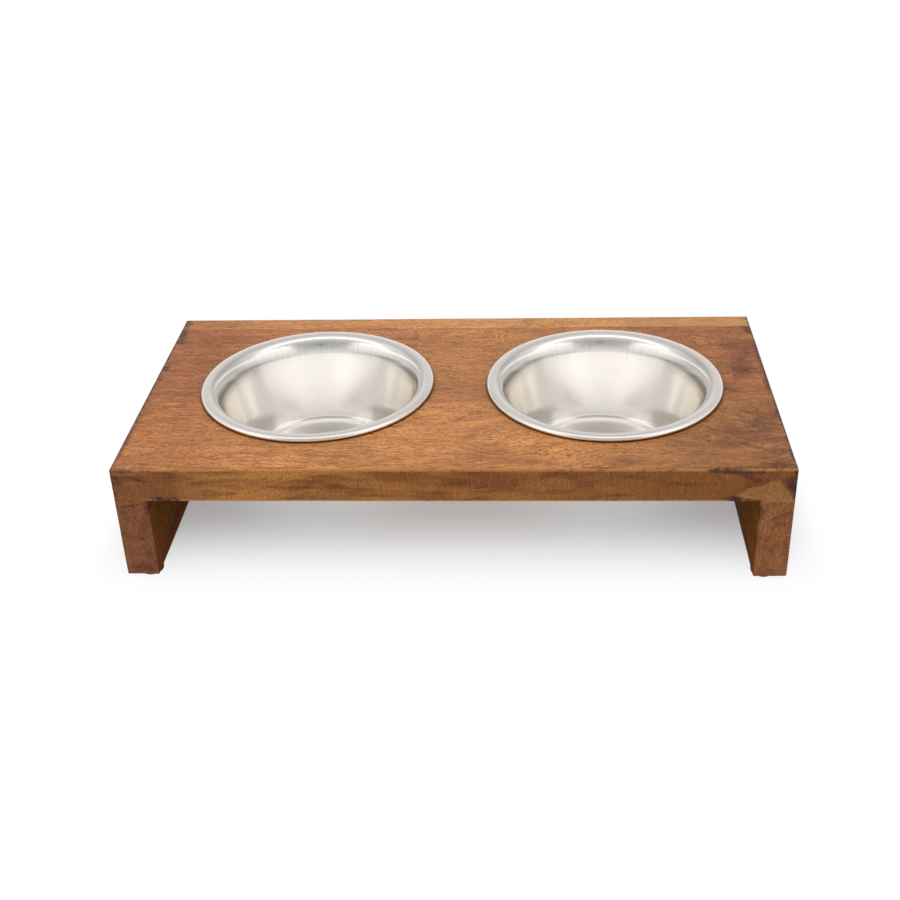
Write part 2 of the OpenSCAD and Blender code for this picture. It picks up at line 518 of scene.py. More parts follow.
stave_boxes = [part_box(name) for name in STAVES]
top_low = Vector([min(low[i] for low, high in stave_boxes) for i in range(3)])
top_high = Vector([max(high[i] for low, high in stave_boxes) for i in range(3)])
print("top in mm:", in_mm(*top_low, *top_high))

# %% [markdown]
# ## The top
# The real top is glued up from staves, sanded as one panel and then cut out. It is made
# the same way here: one block gets its eased edges, a little unevenness and its holes,
# and is then sawn apart along the glue lines, so neighbours still meet exactly.

# %% Finding a block's edges
LEFT_SIDE, RIGHT_SIDE, UNDERSIDE, TOPSIDE = 0, 1, 4, 5


def sides_at(point, low, high):
    """For each of a box's six sides, low and high in x, y and z: does the point lie on it?"""
    return [abs(point[i] - side[i]) < NEAR for i in range(3) for side in (low, high)]


def shared_sides(a, b, low, high):
    """The same for an edge: which sides do both of its ends lie on?"""
    return [p and q for p, q in zip(sides_at(a, low, high), sides_at(b, low, high))]


def roughen(seed):
    """Moves every point a hair, because planed wood is never quite flat."""
    bpy.ops.mesh.select_all(action="SELECT")
    bpy.ops.transform.vertex_random(offset=wobble, uniform=1.0, normal=0.0, seed=seed)


# %% Cutters
def dowel_cutters():
    """Cylinders a little longer than the dowels, to bore the legs and the top."""
    cutters = []
    for name in DOWELS:
        low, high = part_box(name)
        bottom, top = low.z - dowel_end_gap, high.z + dowel_end_gap
        cutters.append(add_cylinder("bore", box_centre(name), dowel_hole_radius, bottom, top,
                                    dowel_hole_sides))
    return cutters


def cutout_cutter(centre):
    """A plug whose upper end flares, so the hole's upper edge comes out eased."""
    flare = 2 * edge_round
    waist = top_high.z - edge_round
    plug_shape = add_cylinder("plug", centre, cutout_radius, top_low.z - flare, waist, cutout_sides)
    pick(plug_shape, "faces", faces_up)
    bpy.ops.mesh.extrude_region_move(TRANSFORM_OT_translate={"value": (0, 0, flare)})
    grow = (cutout_radius + flare) / cutout_radius
    bpy.ops.transform.resize(value=(grow, grow, 1), center_override=(centre.x, centre.y, 0))
    return plug_shape


# %% One panel, eased and cut out
panel_cuts = 17
panel_seed = 4
inset = Vector((wobble, wobble, 0))
hair_up = Vector((0, 0, wobble))
panel_low, panel_high = top_low + inset, top_high - inset - hair_up


def outer_edge(a, b):
    sides = shared_sides(a, b, panel_low, panel_high)
    return sum(sides) >= 2 and not sides[UNDERSIDE]


panel = add_block("top_panel", panel_low, panel_high)
pick(panel, "faces", whole)
bpy.ops.mesh.subdivide(number_cuts=panel_cuts)
pick(panel, "edges", outer_edge)
bpy.ops.mesh.bevel(offset=edge_round, segments=edge_steps, affect="EDGES")
roughen(panel_seed)
cut_away(panel, [cutout_cutter(box_centre(name)) for name in BOWLS] + dowel_cutters())
report(panel)

# %% Sawn into staves
def keep_side(piece, axis, place, keep_above):
    """Saws a piece flat across an axis and keeps one side of it, closed."""
    pick(piece, "faces", whole)
    co, no = Vector((0, 0, 0)), Vector((0, 0, 0))
    co[axis], no[axis] = place, 1
    bpy.ops.mesh.bisect(plane_co=co, plane_no=no, use_fill=True,
                        clear_inner=keep_above, clear_outer=not keep_above)


def ease_glue_line(piece, axis, place):
    """Takes a hair off the sawn upper edge, so that the joint shows as a fine line."""
    upper = panel_high.z - 3 * wobble

    def on_line(a, b):
        return abs(a[axis] - place) < NEAR and abs(b[axis] - place) < NEAR and min(a.z, b.z) > upper

    pick(piece, "edges", on_line)
    bpy.ops.mesh.bevel(offset=glue_line, segments=1, affect="EDGES")


def saw_stave(name):
    """A copy of the panel, sawn on each side where the stave has a neighbour."""
    low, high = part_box(name)
    stave = panel.copy()
    stave.data = panel.data.copy()
    bpy.context.collection.objects.link(stave)
    stave.name = name + "_wood"
    stave.data.name = stave.name
    sawn = []
    for axis in (0, 1):
        if low[axis] > top_low[axis] + 2 * wobble:
            sawn.append((axis, low[axis], True))
        if high[axis] < top_high[axis] - 2 * wobble:
            sawn.append((axis, high[axis], False))
    for axis, place, keep_above in sawn:
        keep_side(stave, axis, place, keep_above)
    for axis, place, keep_above in sawn:
        ease_glue_line(stave, axis, place)
    soften(stave)
    report(stave)
    return stave


staves = {name: saw_stave(name) for name in STAVES}
bpy.data.objects.remove(panel)

# %% [markdown]
# ## The legs
# Each leg is a plank with the same eased edges. Its lower edge is knocked off more on
# the inner side, as on the real ones, where the corners have been rounded by handling.

# %% Two planks
inner_foot_round = 1.5 * MM
leg_cuts = 7
leg_seed = 9


def make_leg(name):
    low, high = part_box(name)
    low, high = low + inset + hair_up, high - inset
    inner = LEFT_SIDE if name == "leg_right" else RIGHT_SIDE
    leg = add_block(name + "_wood", low, high)
    pick(leg, "faces", whole)
    bpy.ops.mesh.subdivide(number_cuts=leg_cuts)

    def lower_edge(a, b):
        sides = shared_sides(a, b, low, high)
        return sum(sides) >= 2 and sides[UNDERSIDE]

    def inner_lower_edge(a, b):
        return lower_edge(a, b) and shared_sides(a, b, low, high)[inner]

    def eased_edge(a, b):
        return sum(shared_sides(a, b, low, high)) >= 2 and not shared_sides(a, b, low, high)[TOPSIDE]

    pick(leg, "edges", inner_lower_edge)
    bpy.ops.mesh.bevel(offset=inner_foot_round, segments=edge_steps, affect="EDGES")
    pick(leg, "edges", eased_edge)
    bpy.ops.mesh.bevel(offset=edge_round, segments=edge_steps, affect="EDGES")
    roughen(leg_seed)
    cut_away(leg, dowel_cutters())
    soften(leg)
    report(leg)
    return leg


legs = {name: make_leg(name) for name in LEGS}

# %% [markdown]
# ## The feet
# The feet are soft stick-on bumpers: a short rubber disc with a round lower edge, a
# slight taper and a shallow dish underneath, which a flat cylinder would not show.

# %% Four bumpers
foot_sides = 72
foot_taper = 0.97
foot_edge_round = 0.9 * MM
foot_edge_steps = 5
dish_rim = 1.6 * MM
dish_depth = 0.25 * MM
round_angle = 50


def make_foot(name):
    low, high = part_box(name)
    centre = box_centre(name)
    foot = add_cylinder(name + "_rubber", centre, (high.x - low.x) / 2, low.z, high.z, foot_sides)

    def sole(centre, normal):
        return faces_down(centre, normal) and abs(centre.z - low.z) < SAME_PLACE

    pick(foot, "faces", faces_down)
    shrink = (foot_taper, foot_taper, 1)
    bpy.ops.transform.resize(value=shrink, center_override=(centre.x, centre.y, 0))
    bpy.ops.mesh.bevel(offset=foot_edge_round, segments=foot_edge_steps, affect="EDGES")
    pick(foot, "faces", sole)
    bpy.ops.mesh.inset(thickness=dish_rim)
    bpy.ops.transform.translate(value=(0, 0, dish_depth))
    soften(foot, round_angle)
    report(foot)
    return foot


feet = {name: make_foot(name) for name in FEET}

# %% [markdown]
# ## The bowls
# Each bowl is one pressed sheet. Half a section of it is drawn as a chain of points that
# are pulled out one after another, with arcs at the raised disc, the corner, the broad
# shoulder, the tighter lip above it and the rolled edge. Spinning the chain makes the
# skin that the food lies on, and Solidify gives it the sheet's thickness behind.

# %% Sizes of the sheet
sheet = 0.8 * MM
roll_radius = 1.7 * MM
tuck_radius = 0.9 * MM
hem_width = 1.5 * MM
rim_flat = 2.1 * MM
lip_radius = 6.5 * MM
shoulder_radius = 25.0 * MM
shoulder_turn = math.radians(16)
wall_lean = math.radians(12)
corner_radius = 4.0 * MM
disc_radius = 33.0 * MM
disc_rise = 1.0 * MM
step_turn = math.radians(45)
step_points, corner_points, shoulder_points, lip_points, roll_points, tuck_points = 5, 16, 10, 16, 12, 8
spin_steps = 240


# %% The section of the sheet
def arc(centre, radius, start, end, steps):
    """Points of an arc in the plane of the section, from one angle to another."""
    angles = [start + (end - start) * i / steps for i in range(steps + 1)]
    return [(centre[0] + radius * math.cos(a), centre[1] + radius * math.sin(a)) for a in angles]


def food_side(rim_radius, rim_z, under_z):
    """The food side of the sheet, from the middle of the floor out to the hem."""
    floor_z = under_z + sheet
    roll_c = (rim_radius - roll_radius, rim_z - roll_radius)
    tuck_c = (rim_radius - tuck_radius, rim_z - roll_radius)
    lip_c = (rim_radius - roll_radius - rim_flat, rim_z - lip_radius)
    # the shoulder and the lip share a tangent where one arc runs into the other
    lip_lean = wall_lean + shoulder_turn
    outward = shoulder_radius - lip_radius
    shoulder_c = (lip_c[0] + outward * math.cos(lip_lean), lip_c[1] - outward * math.sin(lip_lean))
    wall_x = shoulder_c[0] - shoulder_radius * math.cos(wall_lean)
    wall_z = shoulder_c[1] + shoulder_radius * math.sin(wall_lean)
    foot_z = floor_z + corner_radius * (1 - math.sin(wall_lean))
    foot_x = wall_x - (wall_z - foot_z) * math.tan(wall_lean)
    corner_c = (foot_x - corner_radius * math.cos(wall_lean), floor_z + corner_radius)
    # the two arcs of the step keep the sheet's thickness, so one is wider by a sheet
    middle_arc = disc_rise / (2 * (1 - math.cos(step_turn)))
    outer_arc, inner_arc = middle_arc + sheet / 2, middle_arc - sheet / 2
    disc_c = (disc_radius, floor_z + disc_rise - outer_arc)
    step_c = (disc_radius + 2 * middle_arc * math.sin(step_turn), floor_z + inner_arc)
    up, left, down, right = math.pi / 2, math.pi, 1.5 * math.pi, 2 * math.pi
    points = [(0.0, floor_z + disc_rise)]
    points += arc(disc_c, outer_arc, up, up - step_turn, step_points)
    points += arc(step_c, inner_arc, down - step_turn, down, step_points)
    points += arc(corner_c, corner_radius, down, right - wall_lean, corner_points)
    points += arc(shoulder_c, shoulder_radius, left - wall_lean, left - lip_lean, shoulder_points)
    points += arc(lip_c, lip_radius, left - lip_lean, up, lip_points)[1:]
    points += arc(roll_c, roll_radius, up, 0.0, roll_points)[1:]
    points += arc(tuck_c, tuck_radius, 0.0, -up, tuck_points)[1:]
    points.append((rim_radius - tuck_radius - hem_width, points[-1][1]))
    return points


# %% Drawn, spun and thickened
def spin_sheet(name, points, centre):
    """Pulls the section out point by point and spins it round the bowl's axis."""
    clear_bench()
    start = (centre.x + points[0][0], centre.y, points[0][1])
    bpy.ops.mesh.primitive_plane_add(size=sheet, location=start)
    bowl = settle(name)
    bpy.ops.object.mode_set(mode="EDIT")
    bpy.ops.mesh.select_mode(type="VERT")
    bpy.ops.mesh.select_all(action="SELECT")
    bpy.ops.mesh.merge(type="CENTER")
    for (x0, z0), (x1, z1) in zip(points, points[1:]):
        bpy.ops.mesh.extrude_region_move(TRANSFORM_OT_translate={"value": (x1 - x0, 0, z1 - z0)})
    bpy.ops.mesh.select_all(action="SELECT")
    foot_of_axis = (centre.x, centre.y, 0)
    bpy.ops.mesh.spin(steps=spin_steps, angle=2 * math.pi, center=foot_of_axis, axis=(0, 0, 1))
    bpy.ops.mesh.select_all(action="SELECT")
    bpy.ops.mesh.remove_doubles(threshold=SAME_PLACE)
    bpy.ops.mesh.normals_make_consistent(inside=False)
    bpy.ops.object.mode_set(mode="OBJECT")
    return bowl


def face_up(bowl, centre):
    """Turns the skin over if the middle of its floor faces down."""
    def off_axis(face):
        return math.hypot(face.center.x - centre.x, face.center.y - centre.y)

    if min(bowl.data.polygons, key=off_axis).normal.z < 0:
        bpy.ops.object.mode_set(mode="EDIT")
        bpy.ops.mesh.select_all(action="SELECT")
        bpy.ops.mesh.flip_normals()
        bpy.ops.object.mode_set(mode="OBJECT")


def make_bowl(name):
    low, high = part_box(name)
    centre = box_centre(name)
    points = food_side((high.x - low.x) / 2, high.z, low.z)
    bowl = spin_sheet(name + "_steel", points, centre)
    face_up(bowl, centre)
    apply_modifier(bowl, "SOLIDIFY", thickness=sheet, offset=-1.0, use_even_offset=True)
    soften(bowl, round_angle)
    report(bowl)
    return bowl


bowls = {name: make_bowl(name) for name in BOWLS}

# %% [markdown]
# ## Wood
# The wood is a stained hardwood of the mango or acacia kind: soft bands of gold and brown
# along the grain, short dark flecks, glints between them and a few open pores. All of it
# is made in the solid's own coordinates, stretched along the grain, so that the faces of
# a stave agree at their edges and its ends show end grain. A slow noise pushes the
# pattern sideways, which makes the fibres wander and, where it is strong, swirl.

# %% The parts of the grain
# each part is a noise: its length along the grain and width in mm, detail and roughness
grain_parts = {
    "bands": (60, 7.5, 3.0, 0.55),
    "clouds": (40, 22, 3.0, 0.55),
    "fibres": (24, 1.7, 3.0, 0.60),
    "hatch": (7.5, 0.95, 2.0, 0.60),
    "flecks": (2.2, 0.60, 1.0, 0.60),
    "glints": (6.5, 1.1, 2.0, 0.55),
}
wander_size = (75, 40)
pore_size = (3.4, 1.0)
pore_edge = (0.36, 0.16)
pore_choice = (0.80, 0.86)


def stretched(along, length, across):
    """Sizes that are long in one axis and narrow in the other two."""
    sizes = [across] * 3
    sizes[along] = length
    return sizes


def grain_pattern(f, place, along, seed, swirl):
    """Every part of the grain, for wood that runs along one axis: X is 0, Y is 1, Z is 2."""
    own = f.moved(place, seed)
    wander = f.blots(own, stretched(along, *wander_size), rough=0.42).output("Color")
    sideways = stretched(along, 0.0, 1.0)
    push = f.scaled(f.moved(wander, (-0.5, -0.5, -0.5)), sideways)
    push = f.node("ShaderNodeVectorMath", {"operation": "SCALE"}, {0: push, "Scale": swirl})
    own = f.moved(own, push)
    grain = {}
    for part, (length, across, detail, rough) in grain_parts.items():
        grain[part] = f.blots(own, stretched(along, length, across), detail, rough)
    pore_steps = f.in_steps(own, stretched(along, *pore_size))
    cells = f.node("ShaderNodeTexVoronoi", {}, {"Vector": pore_steps, "Scale": 1.0})
    chosen = f.rise(f.split(cells.output("Color"))[0], *pore_choice)
    grain["pores"] = f.rise(cells.output("Distance"), *pore_edge) * chosen
    return grain


# %% Wood from its grain
# the parts in the order in which they are laid: from, to, strength and tone
wood_layers = [
    ("bands", 0.36, 0.64, 0.85, "light"),
    ("clouds", 0.50, 0.74, 0.60, "dark"),
    ("fibres", 0.50, 0.34, 0.55, "dark"),
    ("glints", 0.50, 0.66, 0.60, "light"),
    ("hatch", 0.49, 0.36, 0.60, "dark"),
    ("flecks", 0.49, 0.34, 0.66, "dark"),
]
pore_strength = 0.45
oil_roughness = 0.46
oil_shine = 0.2
grain_depth = 0.2 * MM


def wood_colour(f, grain, light, middle, dark, pore):
    """Lays the grain's parts over the middle tone, and the pores last."""
    tones = {"light": light, "dark": dark}
    colour = tint(middle)
    for part, start, full, strength, tone in wood_layers:
        colour = f.lay(colour, tones[tone], grain[part], start, full, strength)
    return f.mix(grain["pores"] * pore_strength, colour, tint(pore))


def wood_surface(f, colour, grain, dryness=0.0):
    """Satin oil over open pores: the pores are rougher and lie a hair deeper."""
    rough = oil_roughness + grain["hatch"] * 0.18 + grain["pores"] * 0.15 + dryness
    relief = grain["flecks"] * 0.50 + grain["hatch"] * 0.40 - grain["pores"] * 0.80
    return f.coated(colour, rough, relief, 0.35, grain_depth, {"Specular IOR Level": oil_shine})


# %% [markdown]
# ## Stains, worn edges and painted light
# What makes this bench this one are its marks: stain that has soaked in darker along the
# ends, smudges beside the joints, an edge rubbed back to gold that also carries a painted
# highlight. Each mark is an ellipsoid round a named place in millimetres, with an edge frayed by noise.

# %% Wood that takes marks
fray_size = 2.6
fray_reach = 2.2
mark_softness = 0.45


def largest(signals):
    """The largest of some values, from one Math node for each pair."""
    total = signals[0]
    for signal in signals[1:]:
        total = total.math("MAXIMUM", total, signal)
    return total


class Board(Finish):
    """The finish of one stave or leg, and the values that its layers share."""

    def __init__(self, name):
        super().__init__(bpy.data.materials.new(name + "_stain"))
        self.place = self.own_place()
        self.x, self.y, self.z = self.split(self.place)
        self.fray = self.blots(self.place, [fray_size] * 3, 4.0, 0.62) - 0.5

    def grow(self, along, seed, swirl):
        """Gives the board its grain."""
        self.grain = grain_pattern(self, self.place, along, seed, swirl)

    def mark(self, centre, half_size, strength, turn=(0, 0)):
        """Up to its strength inside an ellipsoid in mm, turned in degrees about Z and Y."""
        about_z, about_y = turn
        sockets = {
            "Vector": self.place,
            "Location": mm(*centre),
            "Rotation": (0.0, math.radians(about_y), math.radians(about_z)),
            "Scale": mm(*half_size),
        }
        local = self.node("ShaderNodeMapping", {"vector_type": "TEXTURE"}, sockets)
        away = self.node("ShaderNodeVectorMath", {"operation": "LENGTH"}, {0: local}).output("Value")
        frayed = away + self.fray * fray_reach
        return self.rise(frayed, 1.0 + mark_softness, 1.0 - mark_softness) * strength


# %% Where the top is marked
# the faces of the top in millimetres, as the marks are
FRONT = cad_low.y / MM
RIGHT = cad_high.x / MM
SURFACE = top_high.z / MM
SOFFIT = top_low.z / MM

stain_tint = tint("5a3324")
ink_tint = tint("38201d")

# each mark: centre and half sizes in mm, strength, turns in degrees about Z and Y
top_marks = {
    "top_stave_front": [
        ((-176.5, -60, SURFACE), (2.0, 30, 3), 0.55),
        ((168, -87.5, SURFACE), (8, 3.0, 2), 0.60),
        ((158, -69, SURFACE), (7.5, 1.6, 2), 0.40, (-33, 0)),
        ((166, -47, SURFACE), (9, 7, 3), 0.50, (-20, 0)),
        ((145, FRONT, 67.3), (14, 2, 1.5), 0.75, (0, 3)),
        ((155, FRONT, 63.2), (4.5, 2, 1.6), 0.50, (0, 25)),
        ((175.6, FRONT, 59.5), (3.2, 3, 4.6), 0.85, (0, -20)),
        ((146, FRONT, 50.8), (4.2, 3, 1.6), 0.95),
        ((155, FRONT, 50.0), (6.0, 3, 0.8), 0.80),
        ((-151, FRONT, 50.0), (7.0, 3, 1.6), 0.90),
        ((-172, FRONT, 67.8), (6, 2, 1.2), 0.65),
        ((-174.8, FRONT, 62.0), (2.6, 2, 3.4), 0.60, (0, -35)),
        ((-163.5, FRONT, 62.5), (5.0, 2, 0.9), 0.55, (0, 18)),
    ],
    "top_stave_left": [
        ((-176.5, 74, SURFACE), (3.6, 11, 3), 0.75, (12, 0)),
        ((-175.5, 61, SURFACE), (4.0, 3.5, 3), 0.65),
        ((-176.5, 24, SURFACE), (3.2, 3.6, 3), 0.80),
        ((-176.5, 10.5, SURFACE), (3.0, 2.4, 3), 0.75),
    ],
    "top_stave_right": [
        ((176.0, 72, SURFACE), (3.4, 9, 3), 0.75, (20, 0)),
        ((176.6, 0, SURFACE), (2.2, 12, 3), 0.75),
        ((176.8, 38, SURFACE), (1.6, 24, 3), 0.60),
        ((152, -5, SURFACE), (9, 2.2, 3), 0.45, (-25, 0)),
        ((164, 22, SURFACE), (6, 14, 3), 0.50, (-10, 0)),
        ((152.2, -25.2, SURFACE), (0.9, 1.1, 1), 0.90),
    ],
    "top_strip_left": [((-176, 88, SURFACE), (3.4, 7, 3), 0.75, (12, 0))],
}

# %% [markdown]
# ## The top's finish
# Stain went on in coats, and the layers here follow them: the wood itself, the heavier
# stain towards the ends, the front face that drank it unevenly, then wear with a painted
# highlight on the front's edges, a painted shadow ring under each rim and the smudges. Each is a
# short function, and most take a colour and give it back changed, so one can be left out to see what it
# does.

# %% Stain towards the ends
heavy_waver = 80 * MM


def end_stains(b, colour, load):
    """The right end took the most stain, in blotches, and the left end a little."""
    heavy = b.rise(b.x + b.grain["clouds"] * heavy_waver, *mm(80, 180))
    colour = b.wash(colour, "b9b2b7", heavy * load)
    blotch = b.rise(b.blots(b.place, (50, 22, 30), 5.0, 0.6), 0.48, 0.66)
    blotch = blotch * b.rise(b.x, *mm(90, 165))
    colour = b.wash(colour, "a8888c", blotch * 0.60)
    return b.wash(colour, "e8dfdd", b.rise(b.x, *mm(-105, -150)))


# %% The front face
front_waver = 100 * MM
patch_top_slope = 0.39
patch_side_slope = 1.29
speck_brown = "4a2b17"


def pale_patch(b, face):
    """A paler patch is left where the stain ran off towards the right leg."""
    above = b.z - b.x * patch_top_slope + b.fray * (5 * MM)
    beyond = b.z + b.x * patch_side_slope + b.fray * (6 * MM)
    pale = b.rise(above, *mm(-2, -4)) * b.rise(b.x, *mm(146, 150)) * b.rise(beyond, *mm(281, 277))
    return b.mix(pale * 0.55, face, b.mix(b.grain["glints"], tint("b0763f"), tint("cf9a60")))


def front_face(b):
    """Planed across, the front drank the stain unevenly: gold at the left, then brown."""
    wavering = b.x + b.grain["clouds"] * front_waver
    face = b.mix(b.rise(b.grain["bands"], 0.35, 0.65), tint("a86b39"), tint("cf8e4b"))
    face = b.wash(face, "d0c2ba", b.rise(wavering, *mm(-90, 60)) * 0.92)
    face = b.wash(face, "d8d0d4", b.rise(wavering, *mm(90, 170)) * 0.90)
    face = b.lay(face, "7b4528", b.x, *mm(-139, -146), 0.60)
    face = pale_patch(b, face)
    speckle = b.blots(b.place, (0.9, 0.6, 0.6), 2.0, 0.7)
    face = b.lay(face, speck_brown, speckle, 0.52, 0.36, 0.70)
    face = b.lay(face, speck_brown, b.grain["hatch"], 0.46, 0.32, 0.25)
    shade = b.blots(b.place, (30, 20, 4.5))
    face = b.lay(face, "5e301a", shade, 0.50, 0.70, 0.60)
    saw_marks = b.blots(b.place, (0.6, 20, 6), 2.0)
    return b.lay(face, "c88f4e", saw_marks, 0.50, 0.74, 0.24)


# %% Wear with a painted highlight, and painted rim shadows
rim_shadow_zone = mm(64.3, 65.2, 66.4, 68.2)


def arris_highlight_and_wear(b, colour, on_front):
    """The front's edges are lighter gold: partly rubbed back by wear, partly a painted highlight on the
    eased arris. A dark line lies behind the upper one.
    """
    near_top = b.rise(b.z, *mm(SURFACE - 1.5, SURFACE - 0.8))
    near_soffit = b.rise(b.z, *mm(SOFFIT + 1.2, SOFFIT + 0.3)) * b.rise(abs(b.x), *mm(160, 157))
    near_front = b.rise(b.y, *mm(FRONT + 1.3, FRONT + 0.9))
    # the gold on the front's edges is partly wear and partly a painted highlight
    highlight_and_wear = near_front * largest([near_top * 0.75, near_soffit]) * b.rise(b.fray, -0.20, 0.02)
    colour = b.mix(highlight_and_wear * 0.80, colour, tint("c68a4a"))
    line = b.rise(abs(b.y - (FRONT + 2.0) * MM), *mm(0.75, 0.2))
    line = line * b.rise(b.blots(b.place, (30, 4, 4)), 0.46, 0.54) * (1.0 - on_front)
    return b.mix(line * 0.80, colour, stain_tint)


def rim_shadow_rings(b, colour):
    """A painted shadow: a dark ring round each cut-out, where the rim sits just above the wood."""
    on_surface = b.rise(b.z, *mm(SURFACE - 3, SURFACE - 2))
    for name in BOWLS:
        middle = box_centre(name)
        east, north = b.x - middle.x, b.y - middle.y
        from_axis = (east * east + north * north) ** 0.5
        # the rim's shadow on the wood is painted in as a dark ring
        rim_shadow = b.between(from_axis, *rim_shadow_zone) * on_surface
        colour = b.mix(rim_shadow * 0.85, colour, tint("361a0a"))
    return colour


# %% Top wood
top_pore = "4b2a1b"
calm_swirl = 20 * MM
wild_swirl = 38 * MM

# each stave: a shift into its own part of the pattern, its tones and its load of stain
top_looks = {
    "top_stave_front": ((0.00, 0.00, 0.00), "e69c5a", "c8874d", "835130", 0.70),
    "top_stave_left": ((0.31, 0.12, 0.05), "d58c58", "b37346", "74472a", 0.80),
    "top_stave_middle": ((0.57, 0.33, 0.09), "d38d51", "b57846", "7d4e30", 0.70),
    "top_stave_right": ((0.83, 0.21, 0.14), "db8d52", "ba7645", "7c4c2d", 0.50),
    "top_strip_left": ((1.13, 0.45, 0.02), "e39e5e", "c98a55", "91613a", 0.20),
    "top_strip_right": ((1.41, 0.07, 0.19), "e8a764", "d29458", "98693d", 0.20),
}


def top_finish(name, seed, light, middle, dark, load):
    """One stave's wood; the load says how much of the right end's heavier stain it took."""
    b = Board(name)
    b.grow(0, seed, calm_swirl + b.rise(b.x, *mm(-60, 120)) * wild_swirl)
    colour = wood_colour(b, b.grain, light, middle, dark, top_pore)
    colour = end_stains(b, colour, load)
    on_front = b.rise(b.y, *mm(FRONT + 1.1, FRONT + 0.5))
    colour = b.mix(on_front, colour, front_face(b))
    colour = rim_shadow_rings(b, arris_highlight_and_wear(b, colour, on_front))
    # stain gathers along both ends and covers the end grain
    to_end = RIGHT * MM - abs(b.x)
    soaked = b.rise(to_end + b.fray * (5 * MM), *mm(2.0, 0.6)) * 0.85
    marks = [b.mark(*spot) for spot in top_marks.get(name, [])]
    stain = b.mix(b.rise(b.fray, -0.1, 0.15), ink_tint, stain_tint)
    colour = b.mix(largest([soaked] + marks), colour, stain)
    return wood_surface(b, colour, b.grain)


for name, stave in staves.items():
    stave.data.materials.append(top_finish(name, *top_looks[name]))

# %% [markdown]
# ## The legs' finish
# The legs' grain runs from front to rear, so their fronts are end grain: mottled, full of
# specks and darker than the top. The same Board and the same kind of marks serve, with
# a coarse mottle and fine specks over the grain.

# %% Leg wood
leg_pore = "3c2418"
leg_swirl = 20 * MM
mottles_per_metre = (180, 180, 120)
specks_per_metre = (1300, 1300, 1300)
inner_dryness = 0.42

leg_looks = {
    "leg_left": ((0.11, 0.70, 0.40), "a56841", "915a38", "623a25"),
    "leg_right": ((0.47, 0.90, 0.25), "b27344", "9d663c", "6a4127"),
}
leg_marks = {
    "leg_left": [
        ((-160.4, FRONT, 46.0), (1.8, 3, 5.0), 0.70),
        ((-167, FRONT, 7.0), (6, 2, 3.0), 0.55),
        ((-168, FRONT, 46.5), (7.0, 1.5, 0.8), 0.60, (0, -12)),
        ((-166, FRONT, 25.0), (2.0, 1.5, 1.0), 0.60),
    ],
    "leg_right": [
        ((160.4, FRONT, 42.0), (1.6, 3, 5.0), 0.70),
        ((171.5, FRONT, 40.3), (6.0, 1.5, 1.2), 0.55, (0, -27)),
        ((170.8, FRONT, 35.5), (2.6, 1.5, 0.9), 0.50),
        ((175, FRONT, 22), (2.0, 1.5, 7.0), 0.35),
    ],
}


def leg_finish(name, seed, light, middle, dark):
    """One leg's wood."""
    b = Board(name)
    b.grow(1, seed, leg_swirl)
    colour = wood_colour(b, b.grain, light, middle, dark, leg_pore)
    mottle = b.noise(b.scaled(b.place, mottles_per_metre), 4.0, 0.6)
    colour = b.lay(colour, dark, mottle, 0.50, 0.70, 0.50)
    colour = b.lay(colour, light, mottle, 0.46, 0.30, 0.35)
    specks = b.noise(b.scaled(b.place, specks_per_metre), 2.0, 0.6)
    colour = b.lay(colour, leg_pore, specks, 0.48, 0.32, 0.55)
    # a thread of glue and rubbed wood shows where the right leg meets the top
    glue = b.rise(b.z, *mm(48.7, 49.2)) * b.rise(b.x, *mm(163, 166))
    colour = b.mix(glue * 0.55, colour, tint("b98a55"))
    marks = [b.mark(*spot) for spot in leg_marks[name]]
    colour = b.mix(largest(marks), colour, stain_tint)
    # the inner faces drank more stain than the planed fronts, and dried duller
    inner = b.rise(abs(b.x), *mm(160.3, 159.9))
    colour = b.wash(colour, "dccf78", inner)
    return wood_surface(b, colour, b.grain, inner * inner_dryness)


for name, leg in legs.items():
    leg.data.materials.append(leg_finish(name, *leg_looks[name]))

# %% [markdown]
# ## Dowels
# The dowels are buried, but they are pieces of the bench, so they get their beech. Their
# shape comes from the frame as it is, and only the finish in their slot is changed.

# %% Beech
beech_swirl = 2 * MM
beech = finish("beech")
beech_grain = grain_pattern(beech, beech.own_place(), 2, (0.2, 0.4, 0.1), beech_swirl)
beech_colour = wood_colour(beech, beech_grain, "e3c79c", "d6b688", "b8946a", "9b7a55")
beech_wood = wood_surface(beech, beech_colour, beech_grain)
for name in DOWELS:
    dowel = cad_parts[name]
    dowel.data.materials.clear()
    dowel.data.materials.append(beech_wood)

# %% [markdown]
# ## Steel
# The sheet has three finishes. The rim is brushed round and round until it is matt, the
# wall is polished, and the floor has gone dull. Between rim and wall the press has left
# fine marks that run down over the shoulder. All but a faint cloudiness depends only on
# the distance from the bowl's axis, the height, and the direction seen from the axis.
# Steel mirrors steel many times over inside a bowl, so light is followed through more
# bounces.

# %% Where each finish of the sheet lies
mirror_bounces = 10
brush_radius = 59.3 * MM
brush_shift = 1.5 * MM
brush_blend = 0.8 * MM
bead_rise = mm(65.1, 65.7)
shoulder_zone = mm(53.5, 56.0, 58.5, 60.0)
lip_zone = mm(54.0, 55.5, 60.5, 62.0)
floor_margin = 0.3 * MM
rings_per_metre = 6000.0
ring_waver = 2.0
runs_round = 190.0
runs_per_metre = 60.0
clouds_per_metre = (60, 60, 60)
polish_depth = 0.02 * MM


